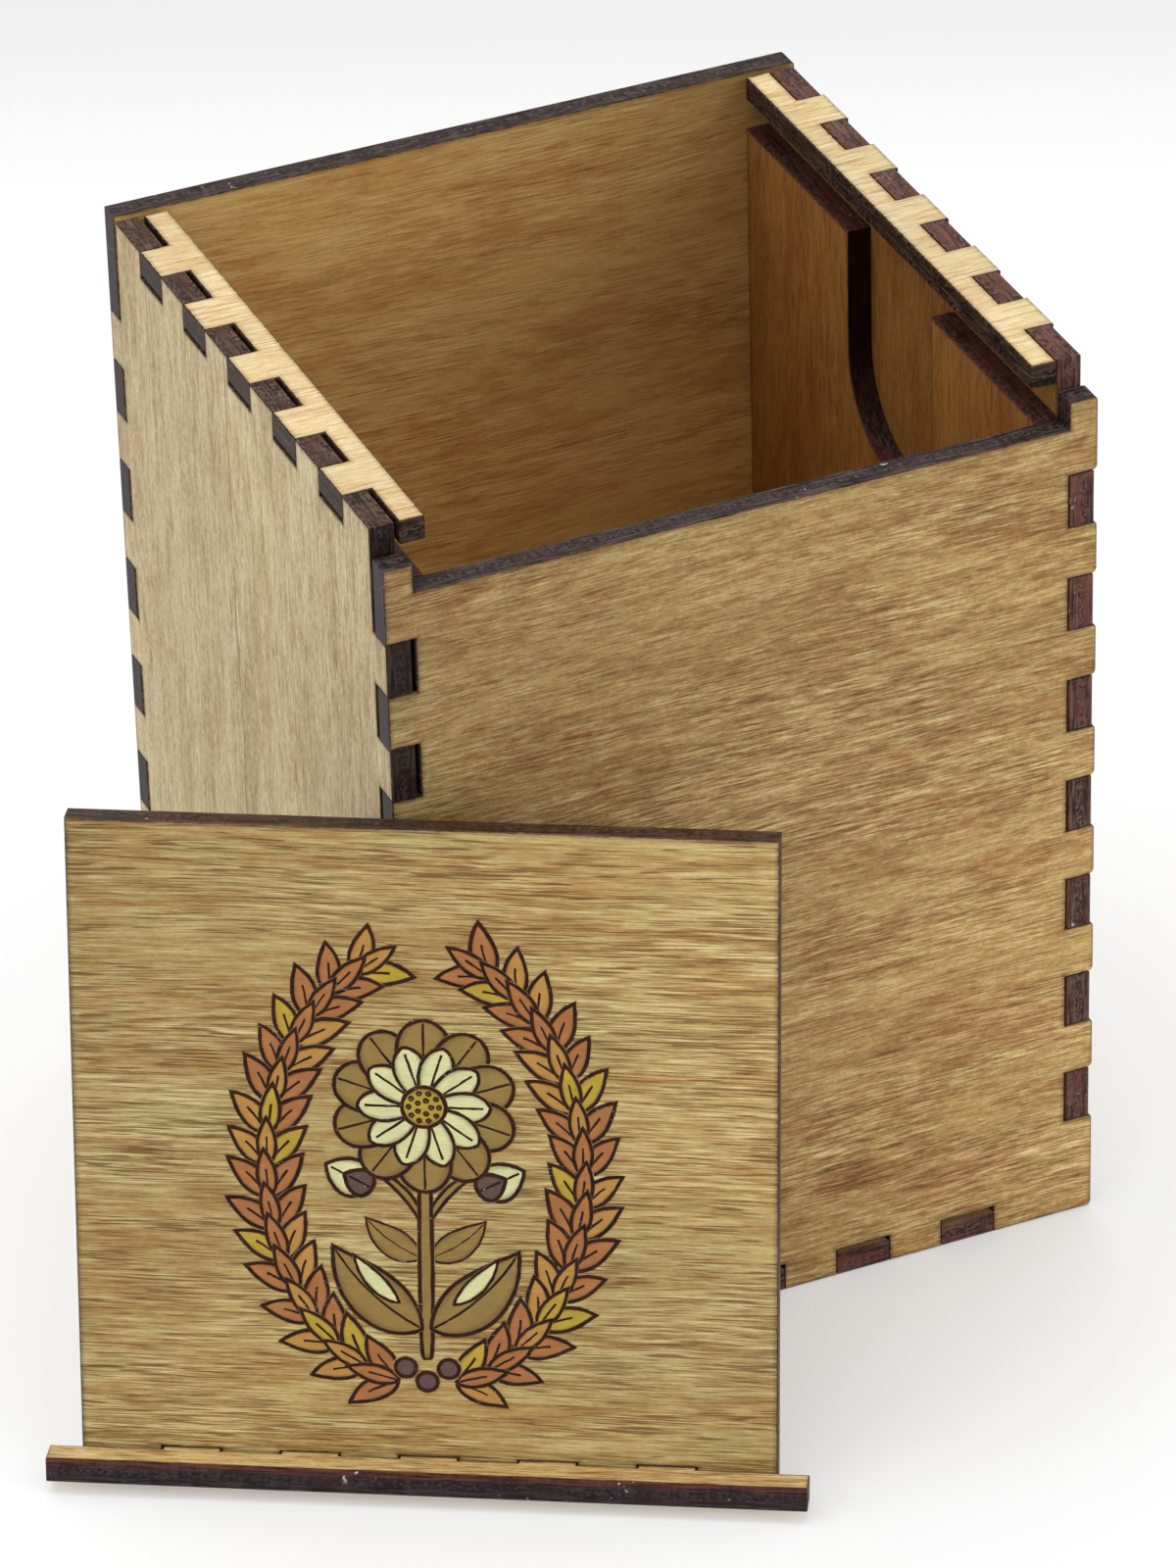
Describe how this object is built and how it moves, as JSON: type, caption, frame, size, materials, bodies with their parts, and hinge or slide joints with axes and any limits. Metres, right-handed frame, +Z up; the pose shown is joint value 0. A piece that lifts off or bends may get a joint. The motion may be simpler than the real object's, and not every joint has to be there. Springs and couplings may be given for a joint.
{
  "type": "sliding-lid deck and dice box",
  "caption": "Upright finger-jointed plywood box for cards or dice, with rails for a sliding lid and the lifted-off lid standing against its front corner.",
  "frame": {"origin": "centre of the box's underside, without the lid", "axes": "+X to the right along the front, +Y from front to back, +Z up"},
  "size_m": [0.1189, 0.1129, 0.1032],
  "materials": {
    "wall_ply": "satin",
    "side_ply": "satin",
    "inner_ply": "satin",
    "rail_ply": "satin",
    "lid_ply": "satin"
  },
  "bodies": {
    "box": {"bottom_panel": "inner_ply", "front_wall": "wall_ply", "back_wall": "wall_ply", "left_wall": "side_ply", "right_wall": "side_ply", "left_rail": "rail_ply", "right_rail": "rail_ply", "left_liner": "inner_ply", "right_liner": "inner_ply"},
    "lid": {"lid_panel": "lid_ply", "lid_lip": "lid_ply"}
  },
  "joints": [
    {"name": "lid_lift", "type": "slide", "parent": "box", "child": "lid", "axis": [0, 0, 1], "range_m": [0, 0.12]}
  ]
}
